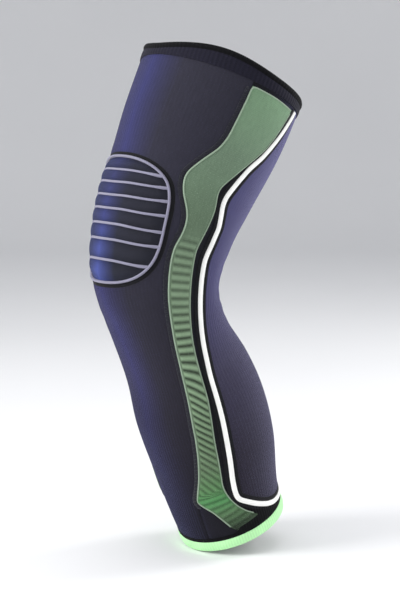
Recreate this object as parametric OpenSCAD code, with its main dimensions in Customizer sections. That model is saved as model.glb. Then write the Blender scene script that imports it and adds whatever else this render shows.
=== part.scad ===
// Pull-on compression knee brace. A knitted tube with a front panel, a rear
// panel and two side bands; a sprung stay in a channel behind each band; a
// ribbed kneecap panel with a gel ring behind it; gripping hems at both ends.
//
// Frame: the origin is the centre of the knee. +Z is up, -Y is the front of
// the knee and +X the outer (lateral) side. The sleeve stands as it is worn
// on a half-bent knee. Millimetres and degrees.
//
// Every soft wall is drawn on one surface, pt(s, a, d):
//   s  height along the sleeve's curved centre line, 0 at the knee
//   a  angle round the sleeve, 0 at the front, 90 at the outer side
//   d  distance outside the knitted wall's outer face

/* [Bend] */
// Lean of the thigh half from the vertical, degrees
thigh_lean = 24; // [22:0.5:26]
// Lean of the calf half from the vertical, degrees
calf_lean = 23; // [21:0.5:25]
// Half length of the curved stretch at the knee
bend_half = 80; // [76:1:84]
// How far the kneecap lifts the front
kneecap_rise = 5; // [2:0.5:7]

/* [Wall] */
// Thickness of the knitted wall
wall_t = 2.2; // [1.8:0.1:2.4]
// Gap between the knee zone and the calf walls
zone_gap = 0.4; // [0.3:0.1:0.8]

/* [Hems] */
// Inner radius of the thigh opening, at its silicone grip
thigh_grip_r = 70.4; // [70:0.1:70.7]
// Inner radius of the calf opening, at its silicone grip
calf_grip_r = 46.9; // [46.5:0.1:47]
// Thickness of the silicone grips
grip_t = 0.6; // [0.3:0.1:0.6]
// Height of the thigh binding
top_binding_h = 6; // [5:0.5:9]
// Height of the calf binding
calf_binding_h = 10; // [7:1:12]

/* [Side bands] */
// Width of the raised piping line
piping_w = 5; // [3:0.5:6]
// Height of the piping above the wall
piping_h = 1.2; // [0.6:0.1:1.6]
// Spacing of the cross ribs on the bands
rib_pitch = 6; // [5.5:0.5:8]
// Width of the flatlock seam in front of each band
seam_w = 3; // [2:0.5:4]

/* [Stays] */
// Width of each sprung stay
stay_w = 6; // [5:0.5:7]
// Thickness of each sprung stay
stay_t = 1.5; // [1:0.1:1.6]
// Top end of the stays
stay_top = 85; // [78:1:86]
// Bottom end of the stays
stay_bottom = -110; // [-112:1:-104]

/* [Kneecap panel] */
// Height of the panel's centre above the knee centre
cap_mid = 51; // [49:0.5:52]
// Half height of the panel
cap_half_h = 43; // [42:0.5:44]
// Half width of the panel, degrees round the sleeve
cap_half_a = 55; // [52:0.5:55]
// Width of the raised lines across the panel
cap_line_w = 2; // [1.5:0.1:2.4]
// Thickness of the gel ring
gel_t = 4; // [2.5:0.5:4.5]

/* [Hidden] */
$fn = 128;

// ends of the knitted tube and of its hems
s_top = 198;
s_bind_top = s_top - top_binding_h;
s_wall_top = 170;
s_bot = -236;
s_bind_bot = s_bot + calf_binding_h;
s_wall_bot = -212;
top_out_r = 73.2;
bot_out_r = 49.5;

// station, half width, front depth, back depth of the tube
profile = [
  [-236, 49, 49, 49], [-212, 50.5, 50, 52], [-165, 56.5, 49, 66.5],
  [-115, 57.5, 47, 71], [-68, 54, 39.5, 63.5], [-28, 53.5, 46.5, 50.5],
  [6, 55.5, 59, 42.5], [46, 59, 65.8, 49.8], [92, 64, 69.2, 60],
  [138, 69.5, 73, 69], [168, 72.5, 73, 72], [198, 73, 73, 73]
];
// angle of the band's front edge at each station
band_front = [
  [-236, 31], [-181, 32], [-171, 36], [-159, 41], [-139, 47], [-120, 51],
  [-83, 55], [-49, 59], [-16, 61], [28, 63], [38, 64], [48, 68], [58, 69],
  [66, 67], [79, 59], [87, 57], [94, 57], [110, 65], [122, 72], [134, 75],
  [198, 78]
];
// angle of the ribbed green part's rear edge at each station
band_rear = [
  [-236, 62], [-172, 62], [-150, 65.5], [-126, 69], [-89, 77], [-71, 79],
  [-36, 80], [6, 82], [39, 82.5], [50, 85.5], [61, 87.5], [74, 88], [90, 84],
  [98, 87], [117, 97], [140, 109], [153, 113], [180, 120], [198, 125]
];
// angle of the piping line at each station
band_piping = [
  [-236, 72], [-181, 72], [-169, 73], [-150, 77], [-112, 84], [-94, 87],
  [-75, 90], [-57, 91.5], [-20, 92], [14, 92], [31, 92], [46, 96], [61, 98],
  [72, 95], [81, 92], [88, 92], [106, 97.5], [119, 102], [132, 109],
  [145, 114], [162, 120], [180, 126], [198, 131]
];
// angle of each stay's centre line at each station
stay_line = [[-130, 60], [-90, 66], [-50, 70], [0, 72], [50, 74], [100, 73]];
// stations of the raised lines across the kneecap panel, at its middle
cap_line_s = [22, 35, 45, 54.5, 63, 71.5, 80];
// stations and edge angles of the foot of each band, [s low, a, s high, a]
foot = [
  [-180, 33, -174, 60], [-188, 38, -185, 65], [-197, 46, -195, 70],
  [-206, 53, -204, 77], [-215, 58, -214, 90]
];

psi0 = (thigh_lean - calf_lean) / 2;
bend_k = (thigh_lean + calf_lean) / (2 * bend_half);
bend_r = 180 / PI / bend_k;

function lerp(p, q, t) = p + (q - p) * t;
function inside(s) = max(-bend_half, min(bend_half, s));
function psi(s) = psi0 + bend_k * inside(s);
function mid_y(s) = let (c = inside(s))
  (cos(psi0) - cos(psi(c))) * bend_r + (s - c) * sin(psi(s));
function mid_z(s) = let (c = inside(s))
  (sin(psi(c)) - sin(psi0)) * bend_r + (s - c) * cos(psi(s));

// smooth reading of the profile table
last = len(profile) - 1;
function span(s, i = 0) = i >= last - 1 || s < profile[i + 1][0] ? i : span(s, i + 1);
function rise(i, k) = (profile[i + 1][k] - profile[i][k]) / (profile[i + 1][0] - profile[i][0]);
function slope(i, k) = i == 0 || i == last ? 0 : (rise(i - 1, k) + rise(i, k)) / 2;
function prof(s, k) = let (
    u = max(profile[0][0], min(profile[last][0], s)), i = span(u),
    h = profile[i + 1][0] - profile[i][0], t = (u - profile[i][0]) / h)
  (2*t*t*t - 3*t*t + 1) * profile[i][k] + (t*t*t - 2*t*t + t) * h * slope(i, k)
  + (3*t*t - 2*t*t*t) * profile[i + 1][k] + (t*t*t - t*t) * h * slope(i + 1, k);

// a point on the sleeve
function pt(s, a, d) = let (
    w = prof(s, 1), n = 2 + 0.28 * exp(-pow(s / 90, 2)),
    q = pow(pow(abs(sin(a)), n) + pow(abs(cos(a)), n), -1 / n),
    lift = kneecap_rise * exp(-pow((s - 4) / 26, 2)) * exp(-pow(a / 24, 2)),
    depth = cos(a) > 0 ? prof(s, 2) : prof(s, 3),
    v = -(depth + d + lift) * cos(a) * q, p = psi(s))
  [(w + d) * sin(a) * q, mid_y(s) + v * cos(p), mid_z(s) - v * sin(p)];

function at(d, j) = is_list(d) ? d[j] : d;

// A curved slab over a grid of [s, a] pairs, from depth d0 out to d1. Rows go
// up the sleeve and columns go round it. With loop the rows close on themselves.
module slab(g, d0, d1, loop = false) {
  ni = len(g);
  nj = len(g[0]);
  n = ni * nj;
  rows = loop ? ni : ni - 1;
  out = [for (r = g) for (j = [0 : nj - 1]) pt(r[j][0], r[j][1], at(d1, j))];
  inn = [for (r = g) for (j = [0 : nj - 1]) pt(r[j][0], r[j][1], at(d0, j))];
  skin = [for (i = [0 : rows - 1]) for (j = [0 : nj - 2])
    let (p = i * nj + j, q = ((i + 1) % ni) * nj + j)
    each [[p, q, q + 1], [p, q + 1, p + 1],
          [n + p, n + q + 1, n + q], [n + p, n + p + 1, n + q + 1]]];
  sides = [for (i = [0 : rows - 1])
    let (p = i * nj, q = ((i + 1) % ni) * nj, e = nj - 1)
    each [[p, n + p, n + q], [p, n + q, q],
          [p + e, q + e, n + q + e], [p + e, n + q + e, n + p + e]]];
  m = (ni - 1) * nj;
  ends = loop ? [] : [for (j = [0 : nj - 2])
    each [[j, j + 1, n + j + 1], [j, n + j + 1, n + j],
          [m + j, n + m + j, n + m + j + 1], [m + j, n + m + j + 1, m + j + 1]]];
  polyhedron(concat(out, inn), concat(skin, sides, ends), convexity = 6);
}

// lower edge of the thigh walls and upper edge of the calf walls: the knee
// zone between them is wide at the back, where the sleeve folds
function thigh_edge(a) = 2 + 53 * (1 - cos(a)) / 2;
function calf_edge(a) = -44 - 15 * (1 - cos(a)) / 2;

// the four walls round the tube, by their two edge angles at a station
function edge_l(kind, s) = kind == "front" ? -lookup(s, band_front)
  : kind == "rear" ? lookup(s, band_piping) : lookup(s, band_front);
function edge_r(kind, s) = kind == "front" ? lookup(s, band_front)
  : kind == "rear" ? 360 - lookup(s, band_piping) : lookup(s, band_piping);
function round_at(kind, s, v) = lerp(edge_l(kind, s), edge_r(kind, s), v);

// grid of one wall in one zone; lo and hi are 0 for a level end
function wall_grid(kind, zone, ni, nj) = [for (i = [0 : ni]) [for (j = [0 : nj])
  let (v = j / nj,
       te = thigh_edge(round_at(kind, 30, v)),
       ce = calf_edge(round_at(kind, -50, v)),
       s0 = zone == "thigh" ? te : zone == "knee" ? ce + zone_gap : s_wall_bot,
       s1 = zone == "thigh" ? s_wall_top : zone == "knee" ? te : ce,
       s = lerp(s0, s1, i / ni))
  [s, round_at(kind, s, v)]]];

module wall(kind, zone) {
  ni = zone == "knee" ? 10 : 13;
  nj = kind == "front" ? 14 : kind == "rear" ? 16 : 4;
  slab(wall_grid(kind, zone, ni, nj), -wall_t, 0);
}

// a narrow strip along an edge table, between two depths
function strip_grid(tab, off, w, s0, s1, ni) = [for (i = [0 : ni])
  let (s = lerp(s0, s1, i / ni), r = (prof(s, 1) + prof(s, 2)) / 2,
       c = lookup(s, tab) + off / r * 180 / PI, h = w / 2 / r * 180 / PI)
  [[s, c - h], [s, c + h]]];
module strip(tab, off, w, s0, s1, ni, d0, d1)
  slab(strip_grid(tab, off, w, s0, s1, ni), d0, d1);

module piping(zone) {
  te = thigh_edge(94);
  ce = calf_edge(91);
  s0 = zone == "thigh" ? te + 1 : zone == "knee" ? ce + 1 : -190;
  s1 = zone == "thigh" ? s_wall_top : zone == "knee" ? te : ce - 1;
  strip(band_piping, 0, piping_w, s0, s1, zone == "knee" ? 8 : 12, 0.4, 0.4 + piping_h);
}
module seam(zone) {
  te = thigh_edge(62);
  ce = calf_edge(60);
  s0 = zone == "thigh" ? te + 1 : zone == "knee" ? ce + 1 : -184;
  s1 = zone == "thigh" ? s_wall_top : zone == "knee" ? te : ce - 1;
  strip(band_front, -seam_w / 2 - 0.5, seam_w, s0, s1, zone == "knee" ? 8 : 14, 0.35, 0.9);
}

// cross ribs on a band, from station s1 down to s0
module ribs(s0, s1) {
  for (s = [s1 : -rib_pitch : s0]) {
    l = lookup(s, band_front) + 2;
    r = lookup(s, band_rear) - 2;
    slab([for (i = [0, 1]) [for (j = [0 : 3]) [s + 2.6 * i, lerp(l, r, j / 3)]]], 0.35, 1.1);
  }
}
module band_foot()
  slab([for (f = foot) [[f[0], f[1]], [(f[0] + f[2]) / 2, (f[1] + f[3]) / 2], [f[2], f[3]]]], 1.6, 0.95);

// stay in its channel, behind the green part of the band
function stay_a(s) = lookup(s, stay_line);
function around(s, mm) = mm / prof(s, 1) * 180 / PI;
module stay()
  slab([for (i = [0 : 26]) let (s = lerp(stay_bottom, stay_top, i / 26))
    [for (m = [-0.5, 0.5]) [s, stay_a(s) + around(s, m * stay_w)]]], -2.5 - stay_t, -2.5);
module stay_cap(s0, s1)
  slab([for (i = [0 : 4]) let (t = i / 4, s = lerp(s0, s1, t),
      w = (stay_w + 1.2) * sqrt(1 - pow(2 * t - 1, 4) * 0.7))
    [for (m = [-0.5, 0, 0.5]) [s, stay_a(s) + around(s, m * w)]]], -2.6 - stay_t, -2.75);
module stay_channel()
  slab([for (i = [0 : 26]) let (s = lerp(stay_bottom - 12, stay_top + 12, i / 26))
    [for (m = [-1.25, -0.75, 0.75, 1.25]) [s, stay_a(s) + around(s, m * stay_w)]]],
    [-3.1, -3.4 - stay_t, -3.4 - stay_t, -3.1], [-2.6, -2.8 - stay_t, -2.8 - stay_t, -2.6]);

// kneecap oval, a rounded lozenge; u is the share of its size
cap_n = 2.9;
function cap_pt(phi, u) = let (
    r = u * pow(pow(abs(cos(phi)), cap_n) + pow(abs(sin(phi)), cap_n), -1 / cap_n))
  [cap_mid + cap_half_h * r * sin(phi), cap_half_a * r * cos(phi)];
function cap_a(s, u) = let (t = min(1, abs(s - cap_mid) / (cap_half_h * u)))
  cap_half_a * u * pow(1 - pow(t, cap_n), 1 / cap_n);

module kneecap_panel() {
  u = 0.955;
  color("#2b2c4e")
    slab([for (i = [0 : 12]) let (s = cap_mid - cos(i * 15) * cap_half_h * u * 0.995)
      [for (j = [-5 : 5]) [s, cap_a(s, u) * j / 5]]], 0.55, 1.35);
}
module kneecap_rim()
  color("#a7a6c2")
    slab([for (i = [0 : 47]) [cap_pt(i * 7.5, 0.965), cap_pt(i * 7.5, 1.0)]], 0.5, 2.0, loop = true);
module kneecap_ribs()
  color("#a7a6c2")
    for (s = cap_line_s) {
      w = min(cap_a(s - 1, 0.955), cap_a(s + 1, 0.955)) * 0.965;
      slab([for (i = [-0.5, 0.5]) [for (j = [-5 : 5]) [s + cap_line_w * i, w * j / 5]]], 1.55, 2.3);
    }
module kneecap_gel_ring()
  color("#8f93a8")
    slab([for (i = [0 : 35]) [for (u = [0.6, 0.7, 0.84, 0.92]) cap_pt(i * 10, u)]],
      [-4, -3.1 - gel_t, -3.1 - gel_t, -4], -3.1, loop = true);

// hems: true rings square to the tube's straight ends
module on_thigh(s) translate([0, mid_y(s), mid_z(s)]) rotate([-thigh_lean, 0, 0]) children();
module on_calf(s) translate([0, mid_y(s), mid_z(s)]) rotate([calf_lean, 0, 0]) children();
module ring(ro, ri, h) difference() {
  cylinder(h = h, r = ro);
  translate([0, 0, -1]) cylinder(h = h + 2, r = ri);
}
module top_hem()
  color("#33335a") on_thigh(s_wall_top + 0.3) ring(top_out_r, thigh_grip_r + grip_t, s_bind_top - s_wall_top - 0.3);
module top_binding()
  color("#101014") on_thigh(s_bind_top) ring(top_out_r + 0.4, thigh_grip_r + grip_t, top_binding_h);
module top_grip()
  color("#d8dade") on_thigh(s_bind_top - 12) ring(thigh_grip_r + grip_t, thigh_grip_r, 12);
module bottom_hem()
  color("#141418") on_calf(s_bind_bot) ring(bot_out_r, calf_grip_r + grip_t, s_wall_bot - 0.3 - s_bind_bot);
module bottom_binding()
  color("#8fe58f") on_calf(s_bot) ring(bot_out_r + 0.6, calf_grip_r + grip_t, calf_binding_h);
module bottom_grip()
  color("#d8dade") on_calf(s_bind_bot) ring(calf_grip_r + grip_t, calf_grip_r, 10);

module care_label()
  color("#e9e9e4")
    slab([for (s = [148, 155, 162, 168]) [for (a = [170 : 5 : 190]) [s, a]]], -2.9, -2.5);

// knitted walls
module front_panel_thigh() color("#30305c") wall("front", "thigh");
module front_panel_knee() color("#30305c") wall("front", "knee");
module front_panel_calf() color("#2a2a4c") wall("front", "calf");
module rear_panel_thigh() color("#55497c") wall("rear", "thigh");
module rear_panel_knee() color("#55497c") wall("rear", "knee");
module rear_panel_calf() color("#4c4270") wall("rear", "calf");
module lateral_band_thigh() color("#6f9a6c") wall("side", "thigh");
module lateral_band_knee() color("#5f9460") wall("side", "knee");
module lateral_band_calf() color("#4c9150") wall("side", "calf");
module medial_band_thigh() color("#6f9a6c") mirror([1, 0, 0]) wall("side", "thigh");
module medial_band_knee() color("#5f9460") mirror([1, 0, 0]) wall("side", "knee");
module medial_band_calf() color("#4c9150") mirror([1, 0, 0]) wall("side", "calf");

// piping, seams and ribs on the bands
module lateral_piping_thigh() color("white") piping("thigh");
module lateral_piping_knee() color("white") piping("knee");
module lateral_piping_calf() color("white") piping("calf");
module medial_piping_thigh() color("white") mirror([1, 0, 0]) piping("thigh");
module medial_piping_knee() color("white") mirror([1, 0, 0]) piping("knee");
module medial_piping_calf() color("white") mirror([1, 0, 0]) piping("calf");
module lateral_seam_thigh() color("#15151f") seam("thigh");
module lateral_seam_knee() color("#15151f") seam("knee");
module lateral_seam_calf() color("#15151f") seam("calf");
module medial_seam_thigh() color("#15151f") mirror([1, 0, 0]) seam("thigh");
module medial_seam_knee() color("#15151f") mirror([1, 0, 0]) seam("knee");
module medial_seam_calf() color("#15151f") mirror([1, 0, 0]) seam("calf");
module lateral_ribs_knee() color("#78b178") ribs(-44, 38);
module lateral_ribs_calf() color("#5fae63") ribs(-150, -56);
module medial_ribs_knee() color("#78b178") mirror([1, 0, 0]) ribs(-44, 38);
module medial_ribs_calf() color("#5fae63") mirror([1, 0, 0]) ribs(-150, -56);
module lateral_band_foot() color("#3c7a44") band_foot();
module medial_band_foot() color("#3c7a44") mirror([1, 0, 0]) band_foot();

// stays, their channels and end caps
module lateral_stay() color("silver") stay();
module medial_stay() color("silver") mirror([1, 0, 0]) stay();
module lateral_stay_channel() color("#222230") stay_channel();
module medial_stay_channel() color("#222230") mirror([1, 0, 0]) stay_channel();
module lateral_stay_cap_upper() color("#e4e4e0") stay_cap(stay_top + 0.1, stay_top + 8);
module medial_stay_cap_upper() color("#e4e4e0") mirror([1, 0, 0]) stay_cap(stay_top + 0.1, stay_top + 8);
module lateral_stay_cap_lower() color("#e4e4e0") stay_cap(stay_bottom - 8, stay_bottom - 0.3);
module medial_stay_cap_lower() color("#e4e4e0") mirror([1, 0, 0]) stay_cap(stay_bottom - 8, stay_bottom - 0.3);

front_panel_thigh();
front_panel_knee();
front_panel_calf();
rear_panel_thigh();
rear_panel_knee();
rear_panel_calf();
lateral_band_thigh();
lateral_band_knee();
lateral_band_calf();
medial_band_thigh();
medial_band_knee();
medial_band_calf();
lateral_piping_thigh();
lateral_piping_knee();
lateral_piping_calf();
medial_piping_thigh();
medial_piping_knee();
medial_piping_calf();
lateral_seam_thigh();
lateral_seam_knee();
lateral_seam_calf();
medial_seam_thigh();
medial_seam_knee();
medial_seam_calf();
lateral_ribs_knee();
lateral_ribs_calf();
medial_ribs_knee();
medial_ribs_calf();
lateral_band_foot();
medial_band_foot();
lateral_stay();
medial_stay();
lateral_stay_channel();
medial_stay_channel();
lateral_stay_cap_upper();
medial_stay_cap_upper();
lateral_stay_cap_lower();
medial_stay_cap_lower();
kneecap_panel();
kneecap_rim();
kneecap_ribs();
kneecap_gel_ring();
top_hem();
top_binding();
top_grip();
bottom_hem();
bottom_binding();
bottom_grip();
care_label();
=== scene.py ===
import math

import bpy
import numpy as np
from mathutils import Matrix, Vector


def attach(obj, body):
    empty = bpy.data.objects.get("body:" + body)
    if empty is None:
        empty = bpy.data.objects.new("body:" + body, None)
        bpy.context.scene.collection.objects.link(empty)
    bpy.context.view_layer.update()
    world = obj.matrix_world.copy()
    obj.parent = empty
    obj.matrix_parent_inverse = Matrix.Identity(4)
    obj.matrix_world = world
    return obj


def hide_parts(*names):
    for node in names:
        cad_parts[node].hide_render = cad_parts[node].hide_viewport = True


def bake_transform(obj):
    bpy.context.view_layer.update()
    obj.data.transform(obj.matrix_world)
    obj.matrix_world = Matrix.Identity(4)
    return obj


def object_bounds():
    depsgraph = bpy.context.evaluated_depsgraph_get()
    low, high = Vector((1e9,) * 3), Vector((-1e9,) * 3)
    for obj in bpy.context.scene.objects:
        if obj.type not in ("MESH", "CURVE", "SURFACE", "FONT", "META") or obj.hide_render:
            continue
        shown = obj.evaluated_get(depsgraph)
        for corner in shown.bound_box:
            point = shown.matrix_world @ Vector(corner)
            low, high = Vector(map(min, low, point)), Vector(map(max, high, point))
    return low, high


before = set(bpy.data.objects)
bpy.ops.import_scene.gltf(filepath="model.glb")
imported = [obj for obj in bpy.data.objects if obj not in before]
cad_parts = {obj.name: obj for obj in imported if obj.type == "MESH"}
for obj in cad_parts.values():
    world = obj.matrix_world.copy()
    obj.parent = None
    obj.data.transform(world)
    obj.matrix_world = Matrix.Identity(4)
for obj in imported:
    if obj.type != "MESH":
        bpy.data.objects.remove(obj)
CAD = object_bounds()

# ---------------------------------------------------------------- the sleeve's surface
# The same surface as in part.scad: s along the centre line in mm, a round the sleeve in
# degrees (0 front, 90 outer side), d outwards in mm.
LEAN_T, LEAN_C, HALF = 24.0, 23.0, 80.0
PSI0 = (LEAN_T - LEAN_C) / 2
BEND = (LEAN_T + LEAN_C) / (2 * HALF)
RAD = 180 / math.pi / BEND
PROFILE = np.array([
    (-236, 49, 49, 49), (-212, 50.5, 50, 52), (-165, 56.5, 49, 66.5), (-115, 57.5, 47, 71),
    (-68, 54, 39.5, 63.5), (-28, 53.5, 46.5, 50.5), (6, 55.5, 59, 42.5), (46, 59, 65.8, 49.8),
    (92, 64, 69.2, 60), (138, 69.5, 73, 69), (168, 72.5, 73, 72), (198, 73, 73, 73)], float)
BAND_FRONT = [(-236, 31), (-181, 32), (-171, 36), (-159, 41), (-139, 47), (-120, 51), (-83, 55), (-49, 59),
              (-16, 61), (28, 63), (38, 64), (48, 68), (58, 69), (66, 67), (79, 59), (87, 57), (94, 57),
              (110, 65), (122, 72), (134, 75), (198, 78)]
BAND_REAR = [(-236, 62), (-172, 62), (-150, 65.5), (-126, 69), (-89, 77), (-71, 79), (-36, 80), (6, 82),
             (39, 82.5), (50, 85.5), (61, 87.5), (74, 88), (90, 84), (98, 87), (117, 97), (140, 109),
             (153, 113), (180, 120), (198, 125)]
BAND_LINE = [(-236, 72), (-181, 72), (-169, 73), (-150, 77), (-112, 84), (-94, 87), (-75, 90), (-57, 91.5),
             (-20, 92), (14, 92), (31, 92), (46, 96), (61, 98), (72, 95), (81, 92), (88, 92), (106, 97.5),
             (119, 102), (132, 109), (145, 114), (162, 120), (180, 126), (198, 131)]
STAY_LINE = [(-130, 60), (-90, 66), (-50, 70), (0, 72), (50, 74), (100, 73)]
CAP_MID, CAP_H, CAP_A, CAP_N = 51.0, 42.4, 54.5, 2.9
# raised lines across the kneecap: station at the middle, and how far the ends rise
CAP_LINES = [(22, -0.5), (35, 1.0), (45, 1.2), (54.5, 3.0), (63, 4.5), (71.5, 5.2), (80, 5.2)]

_x = PROFILE[:, 0]
_slope = (PROFILE[1:] - PROFILE[:-1]) / (_x[1:] - _x[:-1])[:, None]
_m = np.zeros_like(PROFILE)
_m[1:-1] = (_slope[:-1] + _slope[1:]) / 2


def prof(s, k):
    s = np.clip(s, _x[0], _x[-1])
    i = np.clip(np.searchsorted(_x, s, side="right") - 1, 0, len(_x) - 2)
    h = _x[i + 1] - _x[i]
    t = (s - _x[i]) / h
    y = PROFILE[:, k]
    return ((2 * t**3 - 3 * t**2 + 1) * y[i] + (t**3 - 2 * t**2 + t) * h * _m[i, k]
            + (3 * t**2 - 2 * t**3) * y[i + 1] + (t**3 - t**2) * h * _m[i + 1, k])


_grid_s = np.arange(-236.0, 198.5, 1.0)
_soft_tables = {}


def read(table, s):
    """An edge table with its corners rounded over a few millimetres."""
    key = id(table)
    if key not in _soft_tables:
        t = np.array(table, float)
        v = np.interp(_grid_s, t[:, 0], t[:, 1])
        for _ in range(1 if table is BAND_LINE else 3):
            e = np.concatenate([[v[0]] * 2, v, [v[-1]] * 2])
            v = np.convolve(e, np.ones(5) / 5, "valid")
        _soft_tables[key] = v
    return np.interp(s, _grid_s, _soft_tables[key])


def psi(s):
    return np.radians(PSI0 + BEND * np.clip(s, -HALF, HALF))


def mid(s):
    c = np.clip(s, -HALF, HALF)
    p0 = math.radians(PSI0)
    y = (math.cos(p0) - np.cos(psi(c))) * RAD + (s - c) * np.sin(psi(s))
    z = (np.sin(psi(c)) - math.sin(p0)) * RAD + (s - c) * np.cos(psi(s))
    return y, z


def wrap(a):
    return (np.asarray(a, float) + 180) % 360 - 180


# folds behind the knee: station, height, half width in s, reach round the back, droop
FOLDS = [(-22, 0.5, 4.6, 34, 9), (-8, 0.8, 4.0, 42, 8), (4, 0.9, 3.6, 38, 6), (16, 0.7, 4.2, 44, -4),
         (31, 0.4, 5.0, 36, -8)]


def relief(s, a):
    """Small soft shape of the worn fabric, in mm."""
    a = wrap(a)
    back = 180 - np.abs(a)
    side = np.sign(a) * 1.0
    r = np.zeros(np.broadcast(s, a).shape)
    for k, (s0, h, w, reach, droop) in enumerate(FOLDS):
        line = s0 - droop * (back / reach) ** 2 + 2.2 * np.sin(np.radians(a * 2 + 70 * k))
        r = r + h * np.exp(-(((s - line) / w) ** 2)) * np.exp(-((back / reach) ** 4))
        r = r - 0.55 * h * np.exp(-(((s - line - 1.9 * w) / w) ** 2)) * np.exp(-((back / reach) ** 4))
    # a few shallow draws that run from the kneecap towards the bands
    for s0, h, w, lean in ((-16, 0.5, 5.0, 10), (-30, 0.4, 5.5, 14), (104, 0.35, 6.0, -10)):
        line = s0 + lean * (np.abs(a) / 60) ** 2
        r = r + h * np.exp(-(((s - line) / w) ** 2)) * np.exp(-(((np.abs(a) - 38) / 22) ** 2))
    r = r + 0.28 * np.sin(s / 17 + 1.3 * np.sin(np.radians(2 * a))) * np.sin(np.radians(3 * a + 0.6 * s))
    fade = np.clip((186 - s) / 30, 0, 1) * np.clip((s + 222) / 30, 0, 1)
    return r * fade


def surf(s, a, d=0.0, soft=1.0):
    s, a, d = np.broadcast_arrays(np.asarray(s, float), np.asarray(a, float), np.asarray(d, float))
    ar = np.radians(a)
    n = 2.0 + 0.28 * np.exp(-((s / 90) ** 2))
    q = (np.abs(np.sin(ar)) ** n + np.abs(np.cos(ar)) ** n) ** (-1 / n)
    aw = wrap(a)
    lift = 5.0 * np.exp(-(((s - 4) / 26) ** 2)) * np.exp(-((aw / 24) ** 2))
    dd = d + (relief(s, a) if soft else 0)
    # front and back depths meet smoothly at the sides
    w = prof(s, 1)
    depth = np.where(np.cos(ar) > 0, prof(s, 2), prof(s, 3))
    x = (w + dd) * np.sin(ar) * q
    v = -(depth + dd + lift) * np.cos(ar) * q
    y0, z0 = mid(s)
    p = psi(s)
    return np.stack([x, y0 + v * np.cos(p), z0 - v * np.sin(p)], -1)


def normal(s, a, soft=1.0):
    e = 0.4
    ds = surf(s + e, a, 0, soft) - surf(s - e, a, 0, soft)
    da = surf(s, a + e, 0, soft) - surf(s, a - e, 0, soft)
    n = np.cross(da, ds)
    return n / np.linalg.norm(n, axis=-1, keepdims=True)


def smooth(t):
    t = np.clip(t, 0, 1)
    return t * t * (3 - 2 * t)


# ---------------------------------------------------------------- meshes
def mesh_object(name, verts, faces, bake=None, knit=None, mats=(), index=None, angle=40, ribs=None):
    """verts in mm; faces (m, 4) of indices, a triangle repeats its last corner; bake and
    knit are per-corner maps (m, 4, 2)."""
    faces = np.asarray(faces, int)
    tri = faces[:, 2] == faces[:, 3]
    size = np.where(tri, 3, 4)
    loops = faces[np.arange(4)[None, :] < size[:, None]]
    me = bpy.data.meshes.new(name)
    me.vertices.add(len(verts))
    me.vertices.foreach_set("co", (np.asarray(verts, float) * 0.001).astype(np.float32).ravel())
    me.loops.add(len(loops))
    me.loops.foreach_set("vertex_index", loops.astype(np.int32))
    me.polygons.add(len(faces))
    start = np.concatenate([[0], np.cumsum(size)[:-1]])
    me.polygons.foreach_set("loop_start", start.astype(np.int32))
    me.polygons.foreach_set("use_smooth", np.ones(len(faces), bool))
    keep = np.arange(4)[None, :] < size[:, None]
    if knit is not None:
        layer = me.uv_layers.new(name="knit")
        layer.data.foreach_set("uv", knit[keep].astype(np.float32).ravel())
    if ribs is not None:
        layer = me.uv_layers.new(name="ribs")
        layer.data.foreach_set("uv", ribs[keep].astype(np.float32).ravel())
    if bake is not None:
        layer = me.uv_layers.new(name="OFBake")
        layer.data.foreach_set("uv", bake[keep].astype(np.float32).ravel())
    for m in mats:
        me.materials.append(m)
    if index is not None:
        me.polygons.foreach_set("material_index", np.asarray(index, np.int32))
    me.update(calc_edges=True)
    me.validate()
    me.set_sharp_from_angle(angle=math.radians(angle))
    o = bpy.data.objects.new(name + "_piece", me)
    bpy.context.scene.collection.objects.link(o)
    return o


def quads(ids, loop=False):
    """Faces of a grid of vertex numbers, outward when rows go up and columns go round."""
    if loop:
        ids = np.concatenate([ids, ids[:1]], 0)
    return np.stack([ids[:-1, :-1], ids[:-1, 1:], ids[1:, 1:], ids[1:, :-1]], -1).reshape(-1, 4)


def corners(u, v, loop=False):
    g = np.stack([u, v], -1)
    return np.stack([g[:-1, :-1], g[:-1, 1:], g[1:, 1:], g[1:, :-1]], 2).reshape(-1, 4, 2)


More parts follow.
